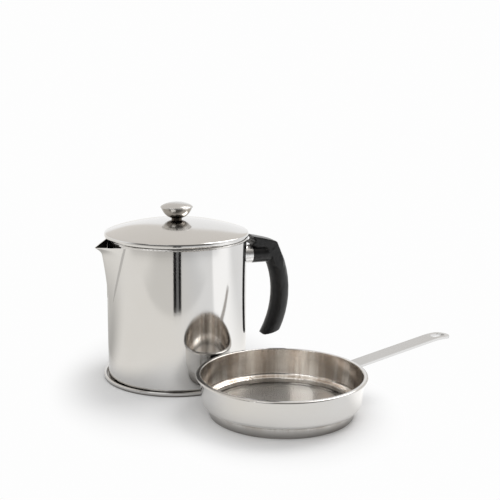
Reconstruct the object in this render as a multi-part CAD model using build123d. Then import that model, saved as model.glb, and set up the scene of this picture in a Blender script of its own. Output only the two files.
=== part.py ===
from build123d import *
import math
import os

# Bacon grease container: a stainless pot with a pouring spout and a side handle, a lift-off lid,
# and a strainer pan that stands beside the pot. Millimetres, +Z up. The origin is on the table at
# the pot's axis, the handle points along +X and the spout along -X.

# ---------------------------------------------------------------- pot body
wall_radius = 64.0
wall_sheet = 0.8
pot_height = 131.0
rim_bead_radius = 1.0
edge_rounding = 0.3
overrun = 1.0

floor_sheet = 0.8
floor_rise = 3.0
foot_overhang = 4.2
foot_bead_width = 2.2
foot_bead_height = 3.7
foot_rounding = 0.9
floor_corner = 0.6
seam_clearance = 0.1

# ---------------------------------------------------------------- spout
spout_sheet = 0.8
spout_height = 74.0
spout_start = 12.0
spout_ridge_lean = 9.0
spout_ridge_curve = 1.73
spout_crease_share = 0.97
spout_flare_reach = 5.4
spout_flare_height = 6.6
spout_edge_drop = 2.6
spout_tip_drop = 6.4
spout_levels = 5

# ---------------------------------------------------------------- handle
handle_axis_drop = 21.5
bracket_sheet = 1.2
bracket_width = 22.0
bracket_height = 26.0
bracket_corner = 5.0
stud_radius = 4.0
stud_length = 24.0
stud_thread_depth = 14.0
ferrule_radius = 8.7
ferrule_sheet = 0.8
ferrule_length = 7.7
grip_width = 18.0
grip_thickness = 17.6
grip_throat = 14.2
grip_reach = 30.3
grip_bow = 10.7
grip_taper = 2.4
grip_tail_bow = 26.3
grip_drop = 81.4
grip_belly_drop = 44.5
grip_end_slope = 11.0
grip_end_rounding = 2.8
grip_stations = 6
elbow_reach = 24.2
elbow_rise = 2.9
heel_reach = 31.3
heel_drop = 6.0
rib_reach = 19.9
armpit_reach = 17.9
hood_length = 11.7
hood_seat = 1.4
beak_rise = 9.4
hood_overhang = 1.4
hood_sheet = 1.4
hood_clearance = 1.0
notch_depth = 4.0
tenon_length = 5.0
screw_radius = 2.5
screw_head_radius = 4.4
screw_head_height = 2.8
screw_end_gap = 1.0
recess_depth = 1.2
recess_width = 1.2
recess_length = 6.0
washer_sheet = 1.0
fit_clearance = 0.2
thread_clearance = 0.05

# ---------------------------------------------------------------- lid
lid_gap = 0.3
lid_radius = 65.7
lid_sheet = 0.7
lid_rise = 15.4
lid_crown_radius = 200.0
lid_bead_radius = 2.1
lid_edge_inset = 0.8
skirt_sheet = 0.7
skirt_depth = 7.0

# ---------------------------------------------------------------- knob
knob_radius = 14.9
knob_height = 15.8
knob_cap_rise = 4.9
knob_belly_radius = 11.0
knob_belly_height = 4.5
knob_sheet = 0.8
knob_neck_radius = 4.8
knob_neck_height = 1.0
knob_rivet_radius = 3.0
knob_thread_depth = 6.5
knob_thread_gap = 0.5
knob_stem_roof = 1.0
knob_screw_radius = 2.0
knob_screw_head_radius = 3.8
knob_screw_head_height = 2.4
knob_washer_radius = 5.2

# ---------------------------------------------------------------- strainer
strainer_gap = 0.6
strainer_bearing = -68.7
strainer_turn = 6.0
strainer_height = 34.2
strainer_sheet = 0.8
strainer_mouth_radius = 68.2
strainer_flange = 3.8
strainer_flange_lip = 1.6
strainer_rim_rounding = 1.3
strainer_mouth_rounding = 0.7
strainer_wall_taper = 1.8
ledge_height = 9.0
ledge_corner = 3.0
ledge_edge = 0.4
mouth_clearance = 1.6
lower_taper = 0.8
ring_sheet = 0.8
mesh_height = 4.2
mesh_sheet = 0.5
mesh_border = 3.4
mesh_openings_across = 12
mesh_opening_radius = 2.9
clamp_border = 2.4
clamp_sheet = 0.8
bar_width = 15.6
bar_sheet = 2.2
bar_length = 106.0
bar_slope = 9.4
bar_droop = 14.0
bar_bend_radius = 70.0
bar_bend_start = 84.0
tang_height = 17.0
slot_length = 14.0
slot_width = 7.5
slot_margin = 4.6
lip_clearance = 0.9

# ---------------------------------------------------------------- worked-out places
wall_inner = wall_radius - wall_sheet
rim_ring_radius = wall_inner + rim_bead_radius
rim_ring_height = pot_height - rim_bead_radius
foot_radius = wall_radius + foot_overhang
handle_height = pot_height - handle_axis_drop
bracket_face = wall_radius + bracket_sheet
grip_face = bracket_face + ferrule_length

lid_seat = pot_height + lid_gap
lid_apex = lid_seat + lid_rise
lid_ring_radius = lid_radius - lid_bead_radius
lid_ring_height = lid_seat + lid_bead_radius
skirt_radius = lid_ring_radius - lid_bead_radius - fit_clearance
knob_floor = lid_apex + knob_neck_height
knob_seam = lid_apex + knob_height - knob_cap_rise
knob_thread_top = lid_apex + knob_thread_depth

strainer_rim_radius = strainer_mouth_radius + strainer_flange
strainer_distance = lid_radius + strainer_rim_radius + strainer_gap
strainer_x = strainer_distance * math.cos(math.radians(strainer_bearing))
strainer_y = strainer_distance * math.sin(math.radians(strainer_bearing))
strainer_place = Pos(strainer_x, strainer_y, 0) * Rot(0, 0, strainer_turn)
lower_radius = wall_inner - mouth_clearance
upwards = (Align.CENTER, Align.CENTER, Align.MIN)
downwards = (Align.CENTER, Align.CENTER, Align.MAX)


# ---------------------------------------------------------------- helpers
def turned(*corners):
    """A solid turned about Z from corners (radius, height) or (radius, height, rounding)."""
    points = [(corner[0], corner[1]) for corner in corners]
    roundings = [corner[2] if len(corner) > 2 else 0 for corner in corners]
    outline = make_face(FilletPolyline(*points, radius=roundings, close=True))
    return revolve(Plane.XZ * outline, Axis.Z, 360)


def upright_cylinder(radius, low, high):
    """A cylinder on the Z axis between two heights."""
    return Pos(0, 0, (low + high) / 2) * Cylinder(radius, high - low)


def level_cylinder(radius, near, far):
    """A cylinder on the handle's axis, along X between two distances from the pot's axis."""
    return Pos((near + far) / 2, 0, handle_height) * Rot(0, 90, 0) * Cylinder(radius, far - near)


def crown_height(radius):
    """Height of the lid's outer surface at a distance from the axis."""
    drop = lid_crown_radius - math.sqrt(lid_crown_radius**2 - radius**2)
    return lid_apex - drop


def crown_ball(inset):
    """The ball whose top is the lid's crown, moved inwards by inset."""
    return Pos(0, 0, lid_apex - lid_crown_radius) * Sphere(lid_crown_radius - inset)


# ---------------------------------------------------------------- spout surfaces
def ridge_lean(height):
    """How far the spout's ridge leans out of the wall at a height, without the flare."""
    share = (height - pot_height + spout_height) / spout_height
    return spout_ridge_lean * share**spout_ridge_curve


def ridge_distance(height):
    """Distance of the spout's ridge from the pot's axis: the lean, then a flare to the tip."""
    above = height - (pot_height - spout_tip_drop - spout_flare_height)
    share = min(1, max(0, above / spout_flare_height))
    return wall_radius + ridge_lean(height) + spout_flare_reach * share**2


def crease_angle(height):
    """Angle from the ridge to each crease, just short of where the sides would touch the wall."""
    return spout_crease_share * math.acos(wall_radius / (wall_radius + ridge_lean(height)))


def spout_section(height, inset):
    """A level kite: the spout's ridge, its two creases on the wall and a point inside the pot."""
    half_angle = crease_angle(height)
    run = ridge_distance(height) - wall_radius * math.cos(half_angle)
    half_corner = math.atan2(wall_radius * math.sin(half_angle), run)
    ridge = ridge_distance(height) - inset / math.sin(half_corner)
    reach = ridge * math.cos(half_corner)
    side_length = reach - math.sqrt(max(0, reach**2 - ridge**2 + wall_radius**2))
    side_length = max(side_length, spout_sheet)
    crease_x = -ridge + side_length * math.cos(half_corner)
    crease_y = side_length * math.sin(half_corner)
    corners = [(-ridge, 0), (crease_x, crease_y), (-wall_radius / 2, 0), (crease_x, -crease_y)]
    return Pos(0, 0, height) * make_face(Polyline(*corners, close=True))


def spout_body(inset):
    """The filled V of the spout, from its foot on the wall to above the rim."""
    low = pot_height - spout_height + spout_start
    tip = pot_height - spout_tip_drop
    flare_foot = tip - spout_flare_height
    shares = [step / spout_levels for step in range(spout_levels)]
    levels = [low + (flare_foot - low) * share for share in shares]
    levels += [flare_foot + spout_flare_height * share for share in shares]
    levels += [tip, pot_height + overrun]
    return loft([spout_section(level, inset) for level in levels], ruled=True)


# ---------------------------------------------------------------- pot
def make_pot_wall():
    """Rolled tube with a rolled rim, open in a V behind the spout."""
    tube = upright_cylinder(wall_radius, floor_sheet, rim_ring_height)
    tube -= upright_cylinder(wall_inner, 0, pot_height)
    bead = Pos(0, 0, rim_ring_height) * Torus(rim_ring_radius, rim_bead_radius)
    bead -= spout_body(0)
    return tube + bead - spout_body(spout_sheet)


def make_pot_base():
    """Pressed bottom: a raised floor, a flange under the wall and an outer foot bead."""
    riser = wall_inner - seam_clearance
    inner_bead = foot_radius - foot_bead_width
    return turned(
        (0, floor_rise),
        (riser - floor_sheet, floor_rise),
        (riser - floor_sheet, 0, edge_rounding),
        (foot_radius, 0, foot_rounding),
        (foot_radius, foot_bead_height, foot_rounding),
        (inner_bead, foot_bead_height, foot_rounding),
        (inner_bead, floor_sheet),
        (riser, floor_sheet),
        (riser, floor_rise + floor_sheet, floor_corner),
        (0, floor_rise + floor_sheet),
    )


def make_pour_spout():
    """Folded V sheet outside the wall, its top edge falling to the flared tip."""
    shell = spout_body(0) - spout_body(spout_sheet)
    shell -= upright_cylinder(wall_radius, 0, pot_height + 2 * overrun)
    crease_x = -wall_radius * math.cos(crease_angle(pot_height))
    tip_x = -ridge_distance(pot_height - spout_tip_drop)
    fall = Vector(tip_x - crease_x, 0, spout_edge_drop - spout_tip_drop)
    upward = Vector(fall.Z, 0, -fall.X)
    edge_plane = Plane(origin=(crease_x, 0, pot_height - spout_edge_drop), x_dir=fall, z_dir=upward)
    above = Box(4 * wall_radius, 4 * wall_radius, spout_height, align=upwards)
    return shell - edge_plane * above


# ---------------------------------------------------------------- handle
def make_handle_bracket():
    """Curved saddle plate on the wall."""
    plate = upright_cylinder(bracket_face, 0, pot_height)
    plate -= upright_cylinder(wall_radius, 0, pot_height)
    window = Pos(wall_radius, 0, handle_height) * Box(wall_radius, bracket_width, bracket_height)
    window = fillet(window.edges().filter_by(Axis.X), bracket_corner)
    return plate & window


def make_handle_stud():
    """Boss on the saddle plate, with a threaded hole in its end."""
    end = bracket_face + stud_length
    boss = level_cylinder(stud_radius, wall_inner, end)
    boss -= upright_cylinder(bracket_face, 0, pot_height)
    thread = level_cylinder(screw_radius + thread_clearance, end - stud_thread_depth, end)
    return boss - thread


def make_handle_ferrule():
    """Steel sleeve between the saddle plate and the grip."""
    sleeve = level_cylinder(ferrule_radius, wall_inner, grip_face)
    sleeve -= level_cylinder(ferrule_radius - ferrule_sheet, wall_inner, grip_face)
    return sleeve - upright_cylinder(bracket_face, 0, pot_height)


def make_grip_bar():
    """Bowed hand grip of oval section that hangs from the elbow and slims to its end."""
    low = handle_height - grip_drop
    elbow = Vector(grip_face + grip_reach - grip_bow, 0, handle_height + ferrule_radius / 2)
    belly = Vector(grip_face + grip_reach, 0, handle_height - grip_belly_drop)
    end = Vector(grip_face + grip_reach - grip_tail_bow, 0, low - grip_thickness)
    line = ThreePointArc(elbow, belly, end)
    sections = []
    for step in range(grip_stations):
        share = step / (grip_stations - 1)
        swell = math.cos(math.pi / 2 * share**grip_taper)
        thickness = grip_throat + (grip_thickness - grip_throat) * swell
        along = line % share
        station = Plane(origin=line @ share, x_dir=Vector(-along.Z, 0, along.X), z_dir=along)
        sections.append(station * Ellipse(thickness / 2, grip_width / 2))
    bar = loft(sections)
    below = Box(grip_drop, grip_drop, grip_drop, align=downwards)
    bar -= Pos(end.X, 0, low) * Rot(0, -grip_end_slope, 0) * below
    rim = bar.faces().sort_by(Axis.Z)[0].edges()
    return fillet(rim, grip_end_rounding)


def make_grip_arm():
    """Beam over the ferrule, from a notched beak by the lid back to the elbow."""
    low = handle_height - ferrule_radius
    high = handle_height + ferrule_radius
    hood = grip_face - hood_overhang
    prong = high + hood_clearance + hood_sheet
    corners = [
        (grip_face + notch_depth, high - hood_seat),
        (hood, high + hood_clearance),
        (hood, prong),
        (hood + notch_depth, prong + hood_sheet * 1.5),
        (hood + hood_sheet / 2, high + beak_rise - hood_sheet),
        (hood + hood_sheet, high + beak_rise),
        (grip_face + elbow_reach, high + elbow_rise),
        (grip_face + heel_reach, handle_height - heel_drop),
        (grip_face + heel_reach - grip_throat / 2, low - heel_drop / 2),
        (grip_face + rib_reach, low),
        (grip_face + armpit_reach, handle_height),
        (grip_face + (hood_length + armpit_reach) / 2, high - ferrule_radius / 2),
        (grip_face + hood_length, high - hood_seat),
    ]
    side = make_face(Polyline(*corners, close=True))
    return extrude(Plane.XZ * side, amount=ferrule_radius, both=True)


def make_handle_grip():
    """Black moulded grip: beam, bowed bar and a round socket with a tenon inside the ferrule."""
    back = grip_face + elbow_reach - grip_throat / 2
    grip = make_grip_arm() + make_grip_bar() + level_cylinder(ferrule_radius, grip_face, back)
    tenon_radius = ferrule_radius - ferrule_sheet - fit_clearance
    grip += level_cylinder(tenon_radius, grip_face - tenon_length, grip_face + tenon_length)
    end = bracket_face + stud_length
    grip -= level_cylinder(stud_radius + fit_clearance, bracket_face, end + fit_clearance)
    grip -= level_cylinder(screw_radius + fit_clearance, end, end + grip_drop)
    counterbore = screw_head_radius + 2 * fit_clearance
    return grip - level_cylinder(counterbore, screw_seat(), end + grip_drop)


def screw_seat():
    """Distance of the screw's counterbore floor from the pot's axis."""
    return bracket_face + stud_length + stud_radius


def make_handle_washer():
    """Washer on the counterbore's floor."""
    low = screw_seat()
    high = low + washer_sheet
    hole = level_cylinder(screw_radius + fit_clearance, low, high)
    return level_cylinder(screw_head_radius, low, high) - hole


def make_handle_screw():
    """Pan head screw through the grip into the stud."""
    head_seat = screw_seat() + washer_sheet
    tip = bracket_face + stud_length - stud_thread_depth + screw_end_gap
    head = level_cylinder(screw_head_radius, head_seat, head_seat + screw_head_height)
    face = Pos(head_seat + screw_head_height, 0, handle_height)
    head -= face * Box(2 * recess_depth, recess_width, recess_length)
    head -= face * Box(2 * recess_depth, recess_length, recess_width)
    return head + level_cylinder(screw_radius, tip, head_seat)


# ---------------------------------------------------------------- lid
def make_lid_shell():
    """Shallow crown, a short upright edge and a curled bead that rests over the rim."""
    edge = lid_ring_radius - lid_edge_inset
    crown = upright_cylinder(edge, lid_ring_height, lid_apex) & crown_ball(0)
    crown -= upright_cylinder(edge - lid_sheet, lid_ring_height, lid_apex) & crown_ball(lid_sheet)
    bead = Pos(0, 0, lid_ring_height) * Torus(lid_ring_radius, lid_bead_radius)
    shell = crown + bead
    hole = upright_cylinder(knob_screw_radius + fit_clearance, lid_ring_height, lid_apex + overrun)
    return shell - hole


def make_lid_skirt():
    """Ring under the crown that keeps the lid in the pot's mouth."""
    low = pot_height - skirt_depth
    ring = upright_cylinder(skirt_radius, low, lid_apex)
    ring -= upright_cylinder(skirt_radius - skirt_sheet, low, lid_apex)
    return ring & crown_ball(lid_sheet)


# ---------------------------------------------------------------- knob
def make_knob_stem():
    """Neck on the crown and rivet through the bowl, threaded for the lid screw."""
    low = lid_apex - overrun
    floor_top = knob_floor + knob_sheet
    stem = upright_cylinder(knob_neck_radius, low, knob_floor) - crown_ball(0)
    stem += upright_cylinder(knob_rivet_radius, knob_floor, floor_top)
    stem += upright_cylinder(knob_rivet_radius + knob_sheet, floor_top, knob_thread_top + knob_stem_roof)
    return stem - upright_cylinder(knob_screw_radius + thread_clearance, low, knob_thread_top)


def knob_bowl_face(inset):
    """Half outline of the bowl's outside, moved inwards by inset."""
    slant = inset * math.sqrt(0.5)
    low = (0, knob_floor + inset)
    high = (0, knob_seam)
    foot = (knob_neck_radius - inset, knob_floor + inset)
    belly = (knob_belly_radius - slant, knob_floor + knob_belly_height + slant)
    lip = (knob_radius - inset, knob_seam)
    side = ThreePointArc(foot, belly, lip)
    return make_face(side + Line(lip, high) + Line(high, low) + Line(low, foot))


def make_knob_bowl():
    """Spun lower half of the knob, riveted to the neck."""
    outside = revolve(Plane.XZ * knob_bowl_face(0), Axis.Z, 360)
    inside = revolve(Plane.XZ * knob_bowl_face(knob_sheet), Axis.Z, 360)
    hole = upright_cylinder(knob_rivet_radius, lid_apex, knob_floor + 2 * knob_sheet)
    return outside - inside - hole


def make_knob_cap():
    """Domed top of the knob, seamed on the bowl."""
    top = lid_apex + knob_height
    ball_radius = (knob_radius**2 + knob_cap_rise**2) / (2 * knob_cap_rise)
    centre = Pos(0, 0, top - ball_radius)
    slab = upright_cylinder(knob_radius, knob_seam, top + overrun)
    core = upright_cylinder(knob_radius - knob_sheet, knob_seam, top + overrun)
    return (centre * Sphere(ball_radius) & slab) - (centre * Sphere(ball_radius - knob_sheet) & core)


def knob_washer_height():
    """Height of the washer's top, at the crown's underside."""
    return crown_height(knob_washer_radius) - lid_sheet


def make_knob_washer():
    """Washer under the crown."""
    high = knob_washer_height()
    low = high - washer_sheet
    hole = upright_cylinder(knob_screw_radius + fit_clearance, low, high)
    return upright_cylinder(knob_washer_radius, low, high) - hole


def make_knob_screw():
    """Screw from under the lid into the knob's stem."""
    seat = knob_washer_height() - washer_sheet
    head = upright_cylinder(knob_screw_head_radius, seat - knob_screw_head_height, seat)
    return head + upright_cylinder(knob_screw_radius, seat, knob_thread_top - knob_thread_gap)


# ---------------------------------------------------------------- strainer
def pan_outer_radius(height):
    """Outside radius of the pan's upper wall at a height."""
    top = strainer_height - strainer_sheet
    share = (height - ledge_height) / (top - ledge_height)
    return strainer_mouth_radius + strainer_sheet - strainer_wall_taper * (1 - share)


def make_strainer_pan():
    """Deep drawn pan: rim flange, tapered wall, ledge for the pot's rim, lower section."""
    top = strainer_height
    under = strainer_height - strainer_sheet
    ledge_radius = pan_outer_radius(ledge_height)
    foot = lower_radius - lower_taper
    return strainer_place * turned(
        (strainer_rim_radius, top, strainer_rim_rounding),
        (strainer_mouth_radius, top, strainer_mouth_rounding),
        (ledge_radius - strainer_sheet, ledge_height + strainer_sheet, ledge_corner),
        (lower_radius - strainer_sheet, ledge_height + strainer_sheet, ledge_edge + strainer_sheet),
        (foot - strainer_sheet, 0),
        (foot, 0, edge_rounding),
        (lower_radius, ledge_height, ledge_edge),
        (ledge_radius, ledge_height, ledge_corner + strainer_sheet),
        (strainer_mouth_radius + strainer_sheet, under, edge_rounding),
        (strainer_rim_radius - strainer_sheet, under, strainer_rim_rounding - strainer_sheet),
        (strainer_rim_radius - strainer_sheet, top - strainer_flange_lip),
        (strainer_rim_radius, top - strainer_flange_lip),
    )


def ring_radius():
    """Outside radius of the rings inside the pan's lower section."""
    return lower_radius - lower_taper - strainer_sheet


def make_carrier_ring():
    """Angle ring inside the lower section that carries the mesh."""
    outside = ring_radius()
    return strainer_place * turned(
        (outside, ring_sheet),
        (outside, mesh_height),
        (outside - mesh_border, mesh_height),
        (outside - mesh_border, mesh_height - ring_sheet),
        (outside - ring_sheet, mesh_height - ring_sheet),
        (outside - ring_sheet, ring_sheet),
    )


def make_strainer_mesh():
    """Mesh disc, with a plain grid of round openings in place of its fine holes."""
    disc_radius = ring_radius() - fit_clearance
    top = mesh_height + mesh_sheet
    open_radius = disc_radius - mesh_border
    pitch = 2 * open_radius / mesh_openings_across
    rows = [(row - (mesh_openings_across - 1) / 2) * pitch for row in range(mesh_openings_across)]
    spots = [(x, y) for x in rows for y in rows if math.hypot(x, y) + mesh_opening_radius < open_radius]
    hole = upright_cylinder(mesh_opening_radius, mesh_height - mesh_sheet, top + mesh_sheet)
    disc = upright_cylinder(disc_radius, mesh_height, top)
    return strainer_place * (disc - [Pos(x, y, 0) * hole for x, y in spots])


def make_clamp_ring():
    """Flat ring that holds the mesh down."""
    low = mesh_height + mesh_sheet
    high = low + clamp_sheet
    opening = upright_cylinder(ring_radius() - clamp_border, low, high)
    return strainer_place * (upright_cylinder(ring_radius(), low, high) - opening)


def bar_edge(inset):
    """Side view of one face of the bar: a straight rise, a bend, and a tail that levels out."""
    rise = math.radians(bar_slope)
    fall = rise - math.radians(bar_droop)
    up = Vector(-math.sin(rise), math.cos(rise))
    start = Vector(strainer_mouth_radius + strainer_sheet, bar_root_height()) - up * inset
    along = Vector(math.cos(rise), math.sin(rise))
    straight = Line(start, start + along * bar_bend_start)
    bend = JernArc(straight @ 1, along, bar_bend_radius - inset, -bar_droop)
    tail_length = bar_length - bar_bend_start - math.radians(bar_droop) * bar_bend_radius
    tail = Line(bend @ 1, bend @ 1 + Vector(math.cos(fall), math.sin(fall)) * tail_length)
    return straight + bend + tail


def bar_root_height():
    """Height of the bar's top face where it leaves the tang, just under the rim's lip."""
    return strainer_height - strainer_flange_lip - lip_clearance


def make_strainer_handle():
    """Flat bar with a rounded end, a hanging slot and a tang against the pan's wall."""
    top = bar_edge(0)
    under = bar_edge(bar_sheet)
    side = make_face(top + Line(top @ 1, under @ 1) + under + Line(under @ 0, top @ 0))
    bar = extrude(Plane.XZ * side, amount=bar_width / 2, both=True)

    end = (top @ 1).X
    middle = end - bar_width / 2
    plan = Pos(middle / 2, 0, strainer_height) * Box(middle, bar_width, 4 * strainer_height)
    plan += Pos(middle, 0, strainer_height) * Cylinder(bar_width / 2, 4 * strainer_height)
    slot = Pos(end - slot_margin - slot_length / 2, 0, 0) * SlotOverall(slot_length, slot_width)
    bar = (bar & plan) - extrude(slot, 4 * strainer_height)

    high = bar_root_height()
    low = high - tang_height
    clear = fit_clearance / 4
    tang = turned(
        (pan_outer_radius(low) + clear, low),
        (pan_outer_radius(high) + clear, high),
        (pan_outer_radius(high) + bar_sheet, high),
        (pan_outer_radius(low) + bar_sheet, low, bar_sheet / 2),
    )
    tang &= Pos(strainer_rim_radius, 0, low) * Box(strainer_rim_radius, bar_width, 4 * tang_height)
    return strainer_place * (bar + tang)


def make_all():
    parts = {
        "pot_wall": make_pot_wall(),
        "pot_base": make_pot_base(),
        "pour_spout": make_pour_spout(),
        "handle_bracket": make_handle_bracket(),
        "handle_stud": make_handle_stud(),
        "handle_ferrule": make_handle_ferrule(),
        "handle_grip": make_handle_grip(),
        "handle_washer": make_handle_washer(),
        "handle_screw": make_handle_screw(),
        "lid_shell": make_lid_shell(),
        "lid_locating_ring": make_lid_skirt(),
        "knob_stem": make_knob_stem(),
        "knob_bowl": make_knob_bowl(),
        "knob_cap": make_knob_cap(),
        "knob_washer": make_knob_washer(),
        "knob_screw": make_knob_screw(),
        "strainer_pan": make_strainer_pan(),
        "mesh_carrier_ring": make_carrier_ring(),
        "strainer_mesh": make_strainer_mesh(),
        "mesh_clamp_ring": make_clamp_ring(),
        "strainer_handle": make_strainer_handle(),
    }
    return parts


os.makedirs("parts", exist_ok=True)
for name, shape in make_all().items():
    export_step(shape, f"parts/{name}.step")
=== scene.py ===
# %% [markdown]
# # A bacon grease container in polished steel
#
# The pot, its lid and the strainer pan come in as finished CAD nodes, at their real size in
# metres. This file gives them their looks: steel that reflects the table around it, a black
# moulded grip, a rounded knob and a strainer disc with real holes. No CAD node is moved.

# %% Load the frame
import math

import bpy
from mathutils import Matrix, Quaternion, Vector


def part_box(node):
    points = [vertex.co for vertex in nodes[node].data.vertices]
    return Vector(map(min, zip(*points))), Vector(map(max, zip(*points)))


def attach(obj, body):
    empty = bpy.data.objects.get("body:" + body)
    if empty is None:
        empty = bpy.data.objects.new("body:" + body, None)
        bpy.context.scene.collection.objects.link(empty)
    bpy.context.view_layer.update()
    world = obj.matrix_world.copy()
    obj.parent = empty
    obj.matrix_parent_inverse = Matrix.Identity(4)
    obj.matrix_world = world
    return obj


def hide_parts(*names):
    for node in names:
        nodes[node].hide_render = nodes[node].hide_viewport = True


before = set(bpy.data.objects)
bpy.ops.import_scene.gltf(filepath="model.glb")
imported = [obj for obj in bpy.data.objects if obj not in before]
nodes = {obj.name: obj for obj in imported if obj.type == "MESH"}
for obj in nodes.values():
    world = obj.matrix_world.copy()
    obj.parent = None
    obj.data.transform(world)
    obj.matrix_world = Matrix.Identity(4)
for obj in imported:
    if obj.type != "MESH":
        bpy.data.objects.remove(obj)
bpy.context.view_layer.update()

# %% [markdown]
# ## Picking and naming
#
# An operator acts on all that is selected, and the CAD nodes arrive selected. So every step here
# starts by selecting only its own piece, and opens it in edit mode with all or none of its mesh
# picked. The pieces' sizes are written in millimetres, as a maker reads them, and MM turns them
# into metres.

# %% Selecting and naming
MM = 0.001


def alone(*pieces):
    """Leaves only these objects selected, the last one active."""
    if bpy.context.object and bpy.context.object.mode == "EDIT":
        bpy.ops.object.mode_set(mode="OBJECT")
    bpy.ops.object.select_all(action="DESELECT")
    for piece in pieces:
        piece.select_set(True)
    bpy.context.view_layer.objects.active = pieces[-1]


def edit(piece, select="SELECT"):
    """Opens a piece in edit mode with all or nothing selected."""
    alone(piece)
    bpy.ops.object.mode_set(mode="EDIT")
    bpy.ops.mesh.select_all(action=select)


def leave_edit():
    """Goes back to object mode, which writes the edits into the mesh."""
    bpy.ops.object.mode_set(mode="OBJECT")


def added(name):
    """Names the primitive that was just added."""
    piece = bpy.context.object
    piece.name = name
    piece.data.name = name
    return piece


print("CAD nodes that arrive selected:", sum(node.select_get() for node in nodes.values()))

# %% [markdown]
# ## Shader maths
#
# A finish is easier to read as arithmetic than as a list of links. `Value` wraps one socket, and
# its operators add Math nodes, so `1 - mask * 0.4` builds two nodes. `Finish` owns a material
# and makes any other node from its type, its settings and its inputs.


# %% Numbers in a node tree
class Value:
    """One number in a node tree."""

    def __init__(self, finish, socket):
        self.finish = finish
        self.socket = socket

    def maths(self, operation, left, right):
        return self.finish.node("ShaderNodeMath", {"operation": operation}, {0: left, 1: right})

    def __add__(self, other):
        return self.maths("ADD", self, other)

    def __radd__(self, other):
        return self.maths("ADD", other, self)

    def __sub__(self, other):
        return self.maths("SUBTRACT", self, other)

    def __rsub__(self, other):
        return self.maths("SUBTRACT", other, self)

    def __mul__(self, other):
        return self.maths("MULTIPLY", self, other)

    def __rmul__(self, other):
        return self.maths("MULTIPLY", other, self)

    def __truediv__(self, other):
        return self.maths("DIVIDE", self, other)

    def __pow__(self, other):
        return self.maths("POWER", self, other)


# %% A finish and its nodes
class Finish:
    """A material or a world (its block), its surface shader and the nodes behind that."""

    def __init__(self, name, surface="ShaderNodeBsdfPrincipled", world=False):
        self.block = bpy.data.worlds.new(name) if world else bpy.data.materials.new(name)
        self.block.use_nodes = True
        self.tree = self.block.node_tree
        self.tree.nodes.clear()
        self.surface = self.tree.nodes.new(surface)
        kind = "ShaderNodeOutputWorld" if world else "ShaderNodeOutputMaterial"
        output = self.tree.nodes.new(kind)
        self.tree.links.new(self.surface.outputs[0], output.inputs["Surface"])

    def plug(self, socket, value):
        """Sets a socket to a number or a colour, or links it to a Value."""
        if isinstance(value, Value):
            self.tree.links.new(value.socket, socket)
        else:
            socket.default_value = value

    def node(self, kind, settings=None, inputs=None, output=0):
        """Adds a node and returns one of its outputs."""
        made = self.tree.nodes.new(kind)
        for key, value in (settings or {}).items():
            if key == "stops":
                for index, (place, shade) in enumerate(value):
                    ramp = made.color_ramp.elements
                    stop = ramp[index] if index < 2 else ramp.new(place)
                    stop.position = place
                    stop.color = (shade, shade, shade, 1)
            else:
                setattr(made, key, value)
        for key, value in (inputs or {}).items():
            self.plug(made.inputs[key], value)
        return Value(self, made.outputs[output])

    def set(self, **sockets):
        """Sets sockets of the surface shader, such as Base_Color."""
        for key, value in sockets.items():
            self.plug(self.surface.inputs[key.replace("_", " ")], value)
        return self

    def place(self):
        """The Object coordinates, in metres from the object's origin."""
        return self.node("ShaderNodeTexCoord", output="Object")

    def moved(self, place, location=(0, 0, 0), scale=(1, 1, 1)):
        """Coordinates shifted or stretched by a Mapping node."""
        return self.node(
            "ShaderNodeMapping",
            inputs={"Vector": place, "Location": location, "Scale": scale},
        )

    def axes(self, vector):
        """The three coordinates of a vector as numbers."""
        split = self.tree.nodes.new("ShaderNodeSeparateXYZ")
        self.plug(split.inputs[0], vector)
        return [Value(self, split.outputs[index]) for index in range(3)]

    def point(self, x, y, z):
        """A vector made of three numbers."""
        return self.node("ShaderNodeCombineXYZ", inputs={0: x, 1: y, 2: z})

    def noise(self, vector, scale, detail=2.0, roughness=0.5):
        """Soft random blotches, as many to the metre as the scale says."""
        return self.node(
            "ShaderNodeTexNoise",
            inputs={"Vector": vector, "Scale": scale, "Detail": detail, "Roughness": roughness},
        )

    def ramp(self, value, start, end, first=0.0, last=1.0):
        """A soft step from first to last as a value goes from start to end."""
        return self.node(
            "ShaderNodeMapRange",
            {"interpolation_type": "SMOOTHSTEP"},
            {"Value": value, "From Min": start, "From Max": end, "To Min": first, "To Max": last},
        )

    def blend(self, share, first, second):
        """A colour between two colours."""
        return self.node(
            "ShaderNodeMix",
            {"data_type": "RGBA"},
            {0: share, 6: first, 7: second},
            output=2,
        )

    def bump(self, height, distance):
        """A normal bent by a height, where a height of 1 is this distance in metres."""
        return self.node(
            "ShaderNodeBump",
            inputs={"Height": height, "Distance": distance, "Strength": 1.0},
        )


# %% Colours and dressing
def grey(level, warmth=0.0):
    """A near-neutral colour, a little warm where warmth is above zero."""
    return (level * (1 + warmth), level, level * (1 - 1.5 * warmth), 1)


def dress(finish, *names):
    """Puts one finish on CAD nodes."""
    for name in names:
        mesh = nodes[name].data
        mesh.materials.clear()
        mesh.materials.append(finish.block)
    print(finish.block.name, "on", ", ".join(names))


# %% [markdown]
# ## Steel
#
# All the metal is stainless steel. Its polish differs from piece to piece, and so does its grey,
# where some pieces are painted darker as painted shade. A polished sheet is a mirror with faint
# circular polishing lines, a soft change of colour, and smudges that make it a little rougher in
# patches. The lines could be drawn in an image, but then a seam or a stretch would show. Here they
# follow the distance from the piece's own axis and the height, so they run round the pot as they
# do on a spun or buffed one. The bar of the strainer is brushed along its length.

# %% Polished steel
pot_axis = (0.0, 0.0, 0.0)
rings_per_metre = 2600
patches_per_metre = 26.0
patch_contrast = 0.015
patch_warming = 1.8
smudges_per_metre = 190.0
small_smudge_share = 0.5
line_share = 0.4
skin = 0.1 * MM
darkening_brown = (0.05, 0.035, 0.022, 1)
reflection_dark = (0.60, 0.52, 0.45, 1)
reflection_light = (1.0, 0.975, 0.935, 1)
streaks_around = 5.0
streaks_upward = 6.0
streak_start = 0.34
streak_full = 0.62


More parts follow.
